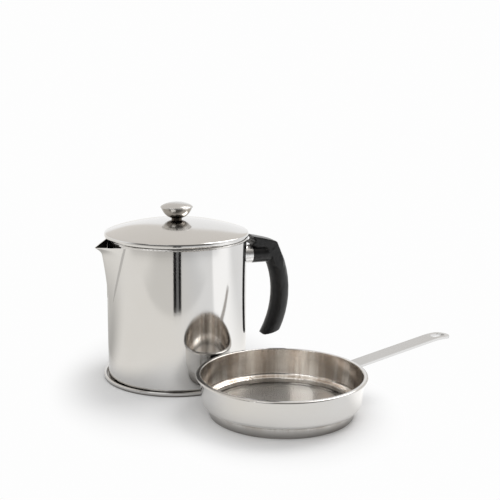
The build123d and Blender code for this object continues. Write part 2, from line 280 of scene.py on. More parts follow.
class Steel(Finish):
    """Steel of a grey level and a roughness, with fine lines whose depth is in millimetres."""

    def __init__(self, name, level, polish, warmth=0.008, axis=pot_axis, line=0.004, smudge=0.05):
        super().__init__(name)
        place = self.place()
        self.x, self.y, self.z = self.axes(self.moved(place, location=tuple(-v for v in axis)))
        self.radius = (self.x * self.x + self.y * self.y) ** 0.5
        lines = self.lines()
        patches = self.noise(place, patches_per_metre, detail=3.0, roughness=0.55)
        smudges = self.noise(place, smudges_per_metre)
        share = self.node("ShaderNodeValToRGB", {"stops": [(0.3, 0.0), (0.7, 1.0)]}, {0: patches})
        darker = grey(level * (1 - patch_contrast), warmth * patch_warming)
        lighter = grey(level * (1 + patch_contrast), warmth)
        self.colour = self.blend(share, darker, lighter)
        self.roughness = polish + (patches - 0.5) * smudge
        self.roughness = self.roughness + (smudges - 0.5) * smudge * small_smudge_share
        self.roughness = self.roughness + (lines - 0.5) * smudge * line_share
        self.set(Base_Color=self.colour, Metallic=1.0, Roughness=self.roughness)
        self.set(Normal=self.bump(lines, line * MM))

    def lines(self):
        """Fine rings round the axis, which also differ from one height to the next."""
        rings = self.point(self.radius * rings_per_metre, self.z * rings_per_metre, 0.0)
        return self.noise(rings, 1.0, detail=3.0, roughness=0.6)

    def inner_wall(self, radius, height, slope=0.0):
        """1 inside a round wall that has this radius at a height above the axis point, else 0."""
        middle = radius + (self.z - height) * slope
        return self.ramp(self.radius - middle, skin, -skin) * self.ramp(self.z, 0.0, height)

    def dulled(self, inside, amount):
        """Rougher metal where inside is 1."""
        self.roughness = self.roughness + inside * amount
        return self.set(Roughness=self.roughness)

    def reflection_streaked(self, inside, amount):
        """Painted light and dark streaks where inside is 1, which stand in for reflections of the
        room.
        """
        turned = (self.x / self.radius * streaks_around, self.y / self.radius * streaks_around)
        spread = self.point(*turned, self.z * streaks_upward)
        streak = self.noise(spread, 1.0, detail=4.0, roughness=0.65)
        share = self.ramp(streak, streak_start, streak_full)
        tone = self.blend(share, reflection_dark, reflection_light)
        self.colour = self.blend(inside * amount, self.colour, tone)
        return self.set(Base_Color=self.colour)

    def darkened_below(self, start, end, depth):
        """Painted darker brown, this deep at one height and below it, and gone at the other."""
        darkening = self.ramp(self.z, start, end, depth, 0.0)
        self.colour = self.blend(darkening, self.colour, darkening_brown)
        return self.set(Base_Color=self.colour)


# %% [markdown]
# ## Dressing the pot, the lid and the strainer
#
# A CAD node whose shape is right only needs a finish. The pot is a bright mirror outside and dull
# inside, where no polishing wheel reaches it. Painted shade darkens the pot's foot in brown, where
# the contact shadow falls, and the knob's bowl towards the lid. The strainer is painted darker
# towards its bottom. It was deep drawn, and its inner wall has painted streaks for reflections.
# The inner face of a wall is everything nearer to its axis than the middle of the sheet, so each
# inner wall is given as that middle radius.

# %% The pot's steel
unpolished = 0.25
wall_steel = Steel("wall_steel", level=0.66, polish=0.075)
wall_steel.dulled(wall_steel.inner_wall(radius=63.6 * MM, height=1.0 * MM), unpolished)
dress(wall_steel, "pot_wall")
base_steel = Steel("base_steel", level=0.64, polish=0.12)
base_steel.dulled(base_steel.inner_wall(radius=62.5 * MM, height=1.0 * MM), unpolished)
# Painted shadow: the foot is painted dark brown up to 2.4 mm, where the contact shadow falls under
# its bead.
base_steel.darkened_below(start=0.4 * MM, end=2.4 * MM, depth=0.85)
dress(base_steel, "pot_base")
ferrule_steel = Steel("ferrule_steel", level=0.90, polish=0.30, warmth=0.0)
dress(ferrule_steel, "handle_ferrule")

# %% The lid's steel
lid_steel = Steel("lid_steel", level=0.67, polish=0.12, line=0.006)
dress(lid_steel, "lid_locating_ring")
knob_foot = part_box("knob_bowl")[0].z
knob_steel = Steel("knob_steel", level=0.52, polish=0.13, warmth=0.03)
# Painted shade: the bowl is painted darker brown towards its foot on the lid, where shade falls
# under it.
knob_steel.darkened_below(start=knob_foot, end=knob_foot + 7.0 * MM, depth=0.9)
dress(knob_steel, "knob_stem")

# %% The strainer's steel
strainer_low, strainer_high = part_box("mesh_carrier_ring")
strainer_axis = tuple((strainer_low + strainer_high) / 2)
pan_steel = Steel("pan_steel", level=0.64, polish=0.15, warmth=0.012, axis=strainer_axis, line=0.01)
pan_inside = pan_steel.inner_wall(radius=66.8 * MM, height=9.0 * MM, slope=0.0738)
# Painted reflections: light and dark streaks down the strainer's inner wall.
pan_steel.reflection_streaked(pan_inside, amount=0.85)
pan_steel.dulled(pan_inside, amount=0.0375)
# The strainer is painted darker brown towards its bottom.
pan_steel.darkened_below(start=-4.0 * MM, end=8.0 * MM, depth=0.60)
dress(pan_steel, "strainer_pan", "mesh_carrier_ring", "mesh_clamp_ring")

# %% The strainer's bar
bar_turn = math.radians(6.0)
brush_lines_per_metre = 1500
brush_breaks_per_metre = 12


class BrushedSteel(Steel):
    """Steel brushed in straight lines along the strainer's bar."""

    def lines(self):
        sideways = self.y * math.cos(bar_turn) - self.x * math.sin(bar_turn)
        along = self.x * math.cos(bar_turn) + self.y * math.sin(bar_turn)
        brushed = self.point(sideways * brush_lines_per_metre, along * brush_breaks_per_metre, 0.0)
        return self.noise(brushed, 1.0, detail=3.0, roughness=0.6)


bar_steel = BrushedSteel(
    "bar_steel",
    level=0.58,
    polish=0.22,
    warmth=0.004,
    axis=strainer_axis,
    line=0.03,
    smudge=0.12,
)
dress(bar_steel, "strainer_handle")

# %% The hidden fixings
plain_steel = Steel("plain_steel", level=0.55, polish=0.28, warmth=0.0)
dress(plain_steel, "handle_bracket", "handle_stud", "handle_washer", "handle_screw")
dress(plain_steel, "knob_washer", "knob_screw")

# %% [markdown]
# ## Black moulded plastic
#
# The grip is glass filled plastic from a finely etched mould: nearly black, satin, with a grain
# of under half a millimetre on slow waves, and rougher in soft patches whose black is painted
# lighter, as a painted sheen for blotchy highlights. A noise for each of the three does it, and
# only the waves are deep enough to bend the highlights.

# %% The grip's plastic
grip_plastic = Finish("grip_plastic")
grip_place = grip_plastic.place()
grains_per_metre = 2600.0
waves_per_metre = 110.0
sheen_patches_per_metre = 45.0
grain_share = 0.04
wave_depth = 1.0 * MM
# The lighter of these two blacks is a painted sheen.
shiny_black = (0.003, 0.003, 0.0033, 1)
painted_sheen_black = (0.014, 0.014, 0.0145, 1)
satin = 0.31
grain = grip_plastic.noise(grip_place, grains_per_metre, roughness=0.6)
waves = grip_plastic.noise(grip_plastic.moved(grip_place, scale=(1.0, 1.0, 0.7)), waves_per_metre)
sheen_and_rub = grip_plastic.noise(grip_place, sheen_patches_per_metre)
# The base colour is painted lighter in the rough patches, as a painted sheen that stands in for
# blotchy highlights.
grip_plastic.set(
    Base_Color=grip_plastic.blend(sheen_and_rub, shiny_black, painted_sheen_black),
    Roughness=satin + (sheen_and_rub - 0.5) * 0.12,
    Normal=grip_plastic.bump(grain * grain_share + waves, wave_depth),
    Specular_IOR_Level=0.42,
)
print("grip nodes:", len(grip_plastic.tree.nodes))

# %% [markdown]
# ## The knob
#
# The knob is two spun shells: a bowl and a domed cap seamed over its lip. Both are turned
# shapes, so each is an outline that is drawn once and spun round the pot's axis. A lathe does the
# same with sheet metal. The cap's hem is rounded, so no sharp edge is left to catch light.


# %% Draw an outline
def chain(name, corners):
    """Draws edges through corners in millimetres by extruding one vertex from each to the next."""
    bpy.ops.object.select_all(action="DESELECT")
    bpy.ops.mesh.primitive_plane_add(size=MM)
    piece = added(name)
    edit(piece)
    bpy.ops.mesh.merge(type="CENTER")
    bpy.ops.transform.translate(value=[v * MM for v in corners[0]])
    for start, end in zip(corners, corners[1:]):
        step = [(b - a) * MM for a, b in zip(start, end)]
        bpy.ops.mesh.extrude_vertices_move(TRANSFORM_OT_translate={"value": step})
    leave_edit()
    return piece


def bend(start, corner, end, steps=10):
    """A curve that leaves one point towards a corner and comes to the next from it."""
    start, corner, end = Vector(start), Vector(corner), Vector(end)
    shares = [step / steps for step in range(steps + 1)]
    return [tuple(start.lerp(corner, t).lerp(corner.lerp(end, t), t)) for t in shares]


# %% Spin it and settle it
def settle(piece, angle):
    """Puts a piece's place into its mesh, turns its faces outwards and smooths them."""
    alone(piece)
    bpy.ops.object.transform_apply(location=True, rotation=True, scale=True)
    edit(piece)
    bpy.ops.mesh.remove_doubles(threshold=1e-6)
    bpy.ops.mesh.normals_make_consistent(inside=False)
    leave_edit()
    bpy.ops.object.shade_smooth_by_angle(angle=math.radians(angle))
    size = [round(length / MM, 1) for length in piece.dimensions]
    print(piece.name, "faces:", len(piece.data.polygons), "size in mm:", size)


def spun(name, outline, foot, steps=96):
    """Turns an outline of (radius, height above its foot) about the pot's axis."""
    corners = [(radius, 0.0, foot / MM + height) for radius, height in outline]
    piece = chain(name, corners)
    edit(piece)
    bpy.ops.mesh.spin(steps=steps, angle=2 * math.pi, center=(0, 0, 0), axis=(0, 0, 1))
    leave_edit()
    settle(piece, angle=40)
    return piece


# %% Spin the bowl
screw_hole = 3.0
lip_radius = 14.6
lip_height = 10.3
bowl_edge = 0.7
bowl_floor = 0.8
bowl_outline = [(screw_hole, 0.0)] + bend((4.4, 0.0), (11.3, 1.7), (lip_radius, lip_height))
bowl_outline += bend((lip_radius - bowl_edge, lip_height), (10.9, 2.9), (5.0, bowl_floor))
bowl_outline += [(screw_hole, bowl_floor), (screw_hole, 0.0)]
knob_bowl = spun("knob_bowl_spun", bowl_outline, knob_foot)

# %% Spin the cap
cap_steel = Steel("cap_steel", level=0.60, polish=0.24, line=0.012)
cap_top = 14.8
cap_sheet = 0.8
cap_shoulder = (14.3, 11.1)
cap_hem = (lip_radius - 0.1, 9.6)
cap_outline = bend((0.0, cap_top), (10.0, 14.4), cap_shoulder)
cap_outline += bend(cap_shoulder, (15.3, 10.3), cap_hem, steps=6)[1:]
cap_outline += bend((cap_hem[0] - 0.3, 10.0), (12.6, 12.0), (0.0, cap_top - cap_sheet))
knob_cap = spun("knob_cap_spun", cap_outline, knob_foot)

# %% Fit the knob to the lid
for piece, node, finish in (
    (knob_bowl, "knob_bowl", knob_steel),
    (knob_cap, "knob_cap", cap_steel),
):
    piece.data.materials.append(finish.block)
    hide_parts(node)
    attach(piece, "lid")
    print(piece.name, "stands for", node)

# %% [markdown]
# ## The lid
#
# The lid is pressed from one sheet: a shallow dome that rounds over a tight shoulder into an
# upright band, whose lower edge is curled under. The band catches the bright table in front,
# and the shoulder above it the dark room, so the lid shows a light line under a dark one. It is
# spun from its section like the knob, outside first and back along the inside.

# %% The lid's section
lid_low, lid_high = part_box("lid_shell")
lid_edge = lid_high.x / MM
lid_top = (lid_high.z - lid_low.z) / MM
crown_radius = 200.0
lid_sheet = 0.7
lid_hole = 2.2
shoulder = 54.0
band_lean = 0.1
band_top = 3.8


def crown(radius, inset=0.0):
    """The dome's height above the lid's lowest point, at a distance from the axis."""
    return lid_top - crown_radius + math.sqrt((crown_radius - inset) ** 2 - radius**2)


def shoulder_curve(inset):
    """The round from the dome into the band, inset by a sheet's thickness on the inside."""
    start = (shoulder, crown(shoulder, inset))
    face = lid_edge - band_lean - inset
    slope = shoulder / math.sqrt(crown_radius**2 - shoulder**2)
    corner = (face, start[1] - slope * (face - shoulder))
    return bend(start, corner, (face, band_top - inset), steps=12)[1:]


print("lid: radius", round(lid_edge, 2), "height", round(lid_top, 2))

# %% Spin the lid
dome = [lid_hole, *range(6, 54, 6), shoulder]
lid_outline = [(radius, crown(radius)) for radius in dome] + shoulder_curve(0.0)
curl = [(0.0, 2.2), (0.05, 1.4), (0.3, 0.7), (0.8, 0.2), (1.4, 0.0), (2.0, 0.25)]
curl += [(2.2, 0.8), (1.7, 1.2), (0.9, 1.8)]
lid_outline += [(lid_edge - inward, height) for inward, height in curl]
lid_outline += reversed(shoulder_curve(lid_sheet))
lid_outline += [(radius, crown(radius, lid_sheet)) for radius in reversed(dome)]
lid_outline.append(lid_outline[0])
lid = spun("lid_spun", lid_outline, lid_low.z, steps=192)
lid.data.materials.append(lid_steel.block)
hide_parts("lid_shell")
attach(lid, "lid")

# %% [markdown]
# ## The strainer disc
#
# Punched sheet has its holes in staggered rows. A picture of holes would be cheaper, but light
# wouldn't fall through it. So one hexagonal cell with a hole in it is modelled, three arrays
# repeat it, and Solidify gives the sheet its thickness, for about fifty thousand faces. The
# ragged edge of the cells ends inside a plain rim, which the carrier ring and the clamp ring hold
# between them.

# %% Punch one cell
disc_low, disc_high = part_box("strainer_mesh")
disc_centre = (disc_low + disc_high) / 2
disc_radius = (disc_high.x - disc_low.x) / 2
disc_sheet = disc_high.z - disc_low.z
pitch = 2.1 * MM
hole_radius = 0.62 * MM
cell_radius = pitch / math.sqrt(3)

bpy.ops.object.select_all(action="DESELECT")
bpy.ops.mesh.primitive_circle_add(vertices=6, radius=cell_radius, fill_type="NGON")
disc = added("strainer_disc")
edit(disc)
bpy.ops.mesh.inset(thickness=(cell_radius - hole_radius) * math.cos(math.pi / 6))
bpy.ops.mesh.delete(type="FACE")
leave_edit()
print("one cell has faces:", len(disc.data.polygons))


# %% Repeat the cell
def modify(piece, kind, **settings):
    """Adds one modifier and applies it."""
    alone(piece)
    modifier = piece.modifiers.new(kind.title(), kind)
    for key, value in settings.items():
        setattr(modifier, key, value)
    bpy.ops.object.modifier_apply(modifier=modifier.name)


def repeated(piece, count, step):
    """Repeats a piece in a row and welds each copy to the one before."""
    modify(
        piece,
        "ARRAY",
        count=count,
        use_relative_offset=False,
        use_constant_offset=True,
        constant_offset_displace=step,
        use_merge_vertices=True,
        merge_threshold=1e-6,
    )


row_step = pitch * math.sqrt(3) / 2
column_count = int(2 * disc_radius / pitch) + 2
row_pair_count = int(disc_radius / row_step) + 2
repeated(disc, 2, (pitch / 2, row_step, 0))
repeated(disc, column_count, (pitch, 0, 0))
repeated(disc, row_pair_count, (0, 2 * row_step, 0))
alone(disc)
bpy.ops.object.origin_set(type="ORIGIN_GEOMETRY", center="BOUNDS")
disc.location = (0, 0, 0)
bpy.ops.object.transform_apply(location=True, rotation=True, scale=True)
print("cells:", 2 * column_count * row_pair_count)

# %% Trim the sheet to a disc
ragged_margin = 1.6 * MM
edit(disc, "DESELECT")
leave_edit()
for vertex in disc.data.vertices:
    vertex.select = vertex.co.length > disc_radius - ragged_margin
bpy.ops.object.mode_set(mode="EDIT")
bpy.ops.mesh.delete(type="VERT")
leave_edit()
modify(disc, "SOLIDIFY", thickness=disc_sheet, offset=0)
print("trimmed disc faces:", len(disc.data.polygons))


# %% Add its plain rim
def joined(name, *pieces):
    """Joins meshes into one object."""
    alone(*pieces)
    bpy.ops.object.join()
    return added(name)


def bridged(name, rings):
    """Joins open or closed chains and bridges each to the next."""
    piece = joined(name, *rings)
    edit(piece)
    bpy.ops.mesh.bridge_edge_loops()
    leave_edit()
    return piece


disc_turn = math.radians(21)
rim_width = 2.6 * MM
# The rim is a touch thinner than the disc, so the faces of the two never coincide.
rim_sheet = disc_sheet * 0.98
rim_rings = []
for radius in (disc_radius - rim_width, disc_radius):
    bpy.ops.object.select_all(action="DESELECT")
    bpy.ops.mesh.primitive_circle_add(vertices=128, radius=radius)
    rim_rings.append(added("rim"))
disc_rim = bridged("disc_rim", rim_rings)
modify(disc_rim, "SOLIDIFY", thickness=rim_sheet, offset=0)
disc = joined("strainer_disc", disc_rim, disc)
disc.rotation_euler = (0, 0, disc_turn)
disc.location = disc_centre
settle(disc, angle=20)
mesh_steel = Steel("mesh_steel", level=0.84, polish=0.30, warmth=0.015, axis=strainer_axis)
disc.data.materials.append(mesh_steel.block)
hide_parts("strainer_mesh")
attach(disc, "strainer")

# %% [markdown]
# ## The spout
#
# The spout is one folded sheet. Its ridge leans out slowly, then hooks to the tip, and its two
# sides leave the wall almost without an edge. It could be one flat sheet that is folded, but its
# bend changes with height, so a row of level sections is bridged instead. The top is cut off
# along the falling edge with a bisect, and Solidify thickens the sheet inwards. Its inside is
# unpolished and dull, and painted nearly black as painted shade, so it has a material of its own.


# %% The spout's sections
def millimetres(length):
    """A length of the frame in millimetres, to a hundredth, past which its meshes aren't exact."""
    return round(length / MM, 2)


# The wall is open behind the spout, so there its box ends at the wall and not at the rolled rim.
wall_low, wall_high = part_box("pot_wall")
wall_radius = millimetres(-wall_low.x)
rim_height = millimetres(wall_high.z)
spout_height = 74.0
lean_at_rim = 9.0
lean_curve = 1.73
flare_reach = 5.4
flare_height = 6.6
tip_drop = 6.4
edge_drop = 2.6
ridge_rounding = 2.4
# Low down, where the sides are short, the ridge's round takes this share of a side at most.
longest_round = 0.3
side_steps = 6
# A side meets the wall just short of where it would touch it as a tangent.
tangent_share = 0.97


def ridge_lean(height):
    """How far the ridge leans out of the wall at a height, before its flare."""
    share = max(0.0, (height - rim_height + spout_height) / spout_height)
    return lean_at_rim * share**lean_curve


def crease_point(height, radius):
    """Where a side meets the wall at a height."""
    angle = tangent_share * math.acos(wall_radius / (wall_radius + ridge_lean(height)))
    return Vector((-radius * math.cos(angle), radius * math.sin(angle)))


def spout_chain(height):
    """One level section of the sheet, from crease to crease round the ridge."""
    above = (height - rim_height + tip_drop + flare_height) / flare_height
    flare = flare_reach * min(1.0, max(0.0, above)) ** 2
    crease = crease_point(height, wall_radius)
    corner = Vector((-(wall_radius + ridge_lean(height) + flare), 0.0))
    side = crease - corner
    soft = corner + side * min(longest_round, ridge_rounding / side.length)
    row = [tuple(crease.lerp(soft, step / side_steps)) for step in range(side_steps)]
    row += bend(soft, corner, (soft.x, -soft.y), steps=6)
    row += [(x, -y) for x, y in reversed(row[:side_steps])]
    return chain("section", [(x, y, height) for x, y in row])


print("spout leans out by", [round(ridge_lean(height), 1) for height in (80, 100, 120, 130)])

# %% Bridge the sections and cut the top
levels = [*range(60, 109, 6), 113, 116, 118, 119.5, 120.8, 122, 123, 124, 124.6, 126, 128, 130]
spout = bridged("spout_sheet", [spout_chain(level) for level in levels])
edit(spout)
bpy.ops.mesh.remove_doubles(threshold=1e-6)
crease_x = crease_point(rim_height, wall_radius).x
tip_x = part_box("pour_spout")[0].x / MM
fall = Vector((tip_x - crease_x, 0, edge_drop - tip_drop)).normalized()
bpy.ops.mesh.bisect(
    plane_co=(crease_x * MM, 0, (rim_height - edge_drop) * MM),
    plane_no=(fall.z, 0, -fall.x),
    clear_outer=True,
)
bpy.ops.mesh.select_all(action="SELECT")
bpy.ops.mesh.normals_make_consistent(inside=False)
leave_edit()
print("spout sections:", len(levels))

# %% Give the sheet its thickness
spout_sheet = 0.8
spout_steel = Steel("spout_steel", level=0.68, polish=0.10)
# The inside's steel is painted nearly black: painted shade inside the spout.
spout_shade_steel = Steel("spout_shade_steel", level=0.025, polish=0.80, warmth=0.06)
spout.data.materials.append(spout_steel.block)
spout.data.materials.append(spout_shade_steel.block)
modify(
    spout,
    "SOLIDIFY",
    thickness=spout_sheet * MM,
    offset=-1,
    material_offset=1,
    material_offset_rim=0,
)
print("spout sheet faces:", len(spout.data.polygons))

# %% [markdown]
# ## The welds
#
# The sheet is welded to the wall along both creases, and each weld is ground to a low bead, four
# millimetres wide, that narrows at its lower end. The bead is made from ovals that stand in the
# crease one above the other, bridged and closed. Most of each oval lies in the wall.


# %% Ovals and closed ends
def oval(centre, rotation, half_thickness, half_width, vertices=48):
    """An oval ring in millimetres, thin along its own X axis and turned by a rotation."""
    bpy.ops.object.select_all(action="DESELECT")
    bpy.ops.mesh.primitive_circle_add(
        vertices=vertices,
        radius=half_width * MM,
        location=[v * MM for v in centre],
        rotation=rotation,
    )
    made = added("ring")
    made.scale.x = half_thickness / half_width
    bpy.ops.object.transform_apply(location=True, rotation=True, scale=True)
    return made


def close_ends(piece):
    """Fills the open ends of a bridged piece."""
    edit(piece, "DESELECT")
    bpy.ops.mesh.select_mode(type="EDGE")
    bpy.ops.mesh.select_non_manifold()
    bpy.ops.mesh.edge_face_add()
    bpy.ops.mesh.select_mode(type="VERT")
    leave_edit()


# %% Lay the two beads
# The bead's steel is painted darker than the wall's: a painted shade line along each crease.
weld_shade_steel = Steel("weld_shade_steel", level=0.47, polish=0.24)
weld_height = 0.25
weld_half_width = 2.0
# Each section is its level and its half width.
weld_sections = [(76, 0.7), (80, 1.2), (84, 1.6)]
weld_sections += [(level, weld_half_width) for level in range(88, 129, 5)]
welds = []
for side in (1, -1):
    rings = []
    for level, half_width in weld_sections:
        point = crease_point(level, wall_radius - weld_height)
        heading = math.atan2(side * point.y, point.x)
        centre = (point.x, side * point.y, level)
        rings.append(oval(centre, (0, 0, heading), 2 * weld_height, half_width, vertices=16))
    weld = bridged("weld", rings)
    close_ends(weld)
    weld.data.materials.append(weld_shade_steel.block)
    welds.append(weld)
spout = joined("spout_sheet", *welds, spout)
settle(spout, angle=35)
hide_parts("pour_spout")
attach(spout, "pot")

# %% [markdown]
# ## The grip
#
# The grip is one moulding: an oval bar that hangs from a hooded arm, and a round socket that
# takes the steel sleeve. Each is made alone, from bridged rings, an extruded side view or rods.
# The bar follows an arc, and is thickest at its top and slimmer towards its end.

# %% The bar's middle line
sleeve_low, sleeve_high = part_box("handle_ferrule")
grip_low, grip_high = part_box("handle_grip")
axis_height = millimetres((sleeve_low.z + sleeve_high.z) / 2)
socket_face = millimetres(sleeve_high.x)
socket_radius = millimetres((sleeve_high.z - sleeve_low.z) / 2)
grip_reach = 30.3
grip_bow = 10.7
grip_tail_bow = 26.3
grip_belly_drop = 44.5
grip_drop = 81.4
grip_width = millimetres(grip_high.y - grip_low.y)
grip_thickness = 17.6
grip_throat = 14.2
grip_slimming = 2.4


def circle_through(first, second, third):
    """Centre of the circle through three points of the side view."""
    (ax, az), (bx, bz), (cx, cz) = first, second, third
    twice = 2 * (ax * (bz - cz) + bx * (cz - az) + cx * (az - bz))
    a2, b2, c2 = ax * ax + az * az, bx * bx + bz * bz, cx * cx + cz * cz
    x = (a2 * (bz - cz) + b2 * (cz - az) + c2 * (az - bz)) / twice
    z = (a2 * (cx - bx) + b2 * (ax - cx) + c2 * (bx - ax)) / twice
    return x, z


belly_x = socket_face + grip_reach
bar_elbow = (belly_x - grip_bow, axis_height + socket_radius / 2)
bar_belly = (belly_x, axis_height - grip_belly_drop)
bar_end = (belly_x - grip_tail_bow, axis_height - grip_drop - grip_thickness)
bow_x, bow_z = circle_through(bar_elbow, bar_belly, bar_end)
bow_radius = math.dist((bow_x, bow_z), bar_belly)
angle_top = math.atan2(bar_elbow[1] - bow_z, bar_elbow[0] - bow_x)
angle_low = math.atan2(bar_end[1] - bow_z, bar_end[0] - bow_x)
print("the bar bows on a radius of", round(bow_radius, 1))

# %% Bridge the bar
bar_sections = 14
rings = []
for step in range(bar_sections + 1):
    share = step / bar_sections
    angle = angle_top + (angle_low - angle_top) * share
    swell = math.cos(math.pi / 2 * share**grip_slimming)
    half_thickness = (grip_throat + (grip_thickness - grip_throat) * swell) / 2
    x = bow_x + bow_radius * math.cos(angle)
    z = bow_z + bow_radius * math.sin(angle)
    rings.append(oval((x, 0, z), (0, -angle, 0), half_thickness, grip_width / 2))
bar = bridged("bar", rings)
close_ends(bar)
print("bar sections:", len(rings))

# %% Cut and round its end
# The end is cut off at a slant, and then its corner towards the pot is taken off.
end_slope = math.radians(13.0)
end_cut = (belly_x - 19.2, axis_height - 80.0)
corner_cut = (belly_x - 18.2, axis_height - 79.6)
corner_direction = (-0.8, 0, -0.6)
end_rounding = 6.0
edit(bar)
bpy.ops.mesh.bisect(
    plane_co=(end_cut[0] * MM, 0, end_cut[1] * MM),
    plane_no=(-math.sin(end_slope), 0, math.cos(end_slope)),
    clear_inner=True,
    use_fill=True,
)
bpy.ops.mesh.select_all(action="SELECT")
bpy.ops.mesh.bisect(
    plane_co=(corner_cut[0] * MM, 0, corner_cut[1] * MM),
    plane_no=corner_direction,
    clear_outer=True,
    use_fill=True,
)
leave_edit()


def rounded(piece, width, segments, sharp_angle):
    """Rounds the edges that are sharper than an angle in degrees."""
    modify(
        piece,
        "BEVEL",
        width=width * MM,
        segments=segments,
        limit_method="ANGLE",
        angle_limit=math.radians(sharp_angle),
    )


rounded(bar, end_rounding, segments=6, sharp_angle=50)
print("bar faces:", len(bar.data.polygons))

# %% [markdown]
# The arm is flat sided, so its side view is drawn once and extruded across. Its beak reaches
# back over the steel sleeve, with a notch under it, and its heel runs down into the bar.

# %% Extrude the arm
arm_corners = [(76.9, 117.0), (71.6, 119.2), (71.5, 120.6), (75.4, 122.8), (72.2, 126.0)]
arm_corners += [(72.9, 127.5), (80.0, 126.0), (90.0, 123.5), (95.6, 121.7), (97.4, 120.4)]
arm_corners += [(100.6, 112.4), (104.0, 103.6), (104.0, 96.0), (95.5, 96.0), (93.0, 101.0)]
arm_corners += [(91.0, 109.0), (87.7, 114.2), (84.6, 116.6), (76.9, 117.0)]
arm_width = 17.4
arm_edge = 1.2
arm = chain("arm", [(x, -arm_width / 2, z) for x, z in arm_corners])
edit(arm)
bpy.ops.mesh.remove_doubles(threshold=1e-6)
bpy.ops.mesh.edge_face_add()
bpy.ops.mesh.extrude_region_move(TRANSFORM_OT_translate={"value": (0, arm_width * MM, 0)})
bpy.ops.mesh.select_all(action="SELECT")
bpy.ops.mesh.normals_make_consistent(inside=False)
leave_edit()
rounded(arm, arm_edge, segments=3, sharp_angle=60)
print("arm faces:", len(arm.data.polygons))


# %% Add the socket
def level_rod(name, radius, near, far):
    """A round rod on the handle's axis between two distances from the pot's axis."""
    bpy.ops.object.select_all(action="DESELECT")
    bpy.ops.mesh.primitive_cylinder_add(
        vertices=64,
        radius=radius * MM,
        depth=(far - near) * MM,
        location=((near + far) / 2 * MM, 0, axis_height * MM),
        rotation=(0, math.pi / 2, 0),
    )
    rod = added(name)
    bpy.ops.object.transform_apply(location=True, rotation=True, scale=True)
    return rod


tenon_radius = 7.7
tenon_start = millimetres(grip_low.x)
socket_back = 92.0
overlap = 3.0
socket = level_rod("socket", socket_radius, socket_face, socket_back)
tenon = level_rod("tenon", tenon_radius, tenon_start, socket_face + overlap)
print("socket from", socket_face, "to", socket_back, "with a tenon from", tenon_start)

# %% [markdown]
# The four shapes now have to become one skin. A boolean union leaves hard seams where they meet,
# so a voxel remesh melts them together, as a mould would, and a little smoothing rounds the
# joints. Booleans then cut the ways of the stud, the screw and its head, which stay crisp.

# %% Melt them together
voxel = 0.55
grip = joined("moulded_grip", bar, arm, socket, tenon)
edit(grip)
bpy.ops.mesh.normals_make_consistent(inside=False)
leave_edit()
modify(grip, "REMESH", mode="VOXEL", voxel_size=voxel * MM)
modify(grip, "SMOOTH", factor=0.5, iterations=8)
print("melted faces:", len(grip.data.polygons))

# %% Cut the ways through
# Each way is its name, its radius and the distances of its two ends from the pot's axis.
for name, radius, near, far in (
    ("bore", 4.2, 65.2, 89.4),
    ("screw_way", 2.7, 80.0, 96.0),
    ("counterbore", 4.8, 93.2, 130.0),
):
    cut = level_rod(name, radius, near, far)
    modify(grip, "BOOLEAN", object=cut, operation="DIFFERENCE", solver="EXACT")
    bpy.data.objects.remove(cut)
settle(grip, angle=40)
grip.data.materials.clear()
grip.data.materials.append(grip_plastic.block)
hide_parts("handle_grip")
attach(grip, "pot")

# %% [markdown]
# ## The floor
#
# Steel shows whatever stands around it, so the studio matters as much as the finish. The floor
# is pale and catches the soft shadow near the pot. Further out it turns into even white, which
# the sky repeats, so no horizon shows. Only in reflections does it also show painted light and
# shade: a painted shadow in front of the pot past its front edge, where the viewer stands, one on
# the left behind the pot, painted shade far out in front that the wall shows just under the lid,
# and painted light under a window. The studio round the object is measured in metres.

# %% Lay the floor
turn = math.radians(22.0)
across = Vector((math.cos(turn), -math.sin(turn), 0.0))
into = Vector((math.sin(turn), math.cos(turn), 0.0))
paper_level = 0.985
white = (1, 1, 1, 1)
floor_size = 12.0
floor_gap = 0.1 * MM

bpy.ops.object.select_all(action="DESELECT")
bpy.ops.mesh.primitive_plane_add(size=floor_size, location=(0, 0, -floor_gap))
floor = added("studio_floor")
paper = Finish("floor_paper", "ShaderNodeMixShader")
floor.data.materials.append(paper.block)
floor_x, floor_y = paper.axes(paper.place())[:2]
aside = floor_x * across.x + floor_y * across.y
ahead = floor_x * into.x + floor_y * into.y
reach = (floor_x * floor_x + floor_y * floor_y) ** 0.5
print("the camera looks along", [round(v, 3) for v in into])

# %% What the floor shows in reflections
front_edge = 0.31
far_shade_reach = 0.62
window_slant = 0.576
front_shadow_depth = 0.17
far_shade_depth = 0.34
window_gain = 0.36
side_shadow_near = 0.50
side_shadow_far = 0.08

# Each patch is a product of soft steps over distances, a squared distance or a direction.
# A painted shadow in front of the pot, past the front edge, where the viewer stands.
front_shadow = paper.ramp(ahead, -front_edge, -front_edge - 0.035, 0.0, front_shadow_depth)
front_shadow = front_shadow * paper.ramp(aside * aside, 0.20, 0.05)
# Painted shade far out in front, which the wall shows just under the lid.
far_shade = paper.ramp(reach, far_shade_reach, far_shade_reach + 0.08, 0.0, far_shade_depth)
far_shade = far_shade * paper.ramp(ahead, -0.12, -0.32)
window = paper.ramp(ahead + aside * window_slant, -0.02, 0.03) * paper.ramp(ahead, 0.16, -0.04)
window = window * paper.ramp(aside, 0.0, 0.05, 0.0, window_gain)
# A painted shadow on the left behind the pot, where the pot's own shadow falls.
side_shadow = paper.ramp(ahead / reach, -0.2, 0.45) * paper.ramp(aside, 0.0, -0.02)
side_shadow = side_shadow * paper.ramp(reach, 0.07, 0.60, side_shadow_near, side_shadow_far)
# The glossy glow carries these painted shadows and the painted window light.
brightness = (1 - front_shadow) * (1 - far_shade) * (1 + window) * (1 - side_shadow)
print("floor nodes:", len(paper.tree.nodes))

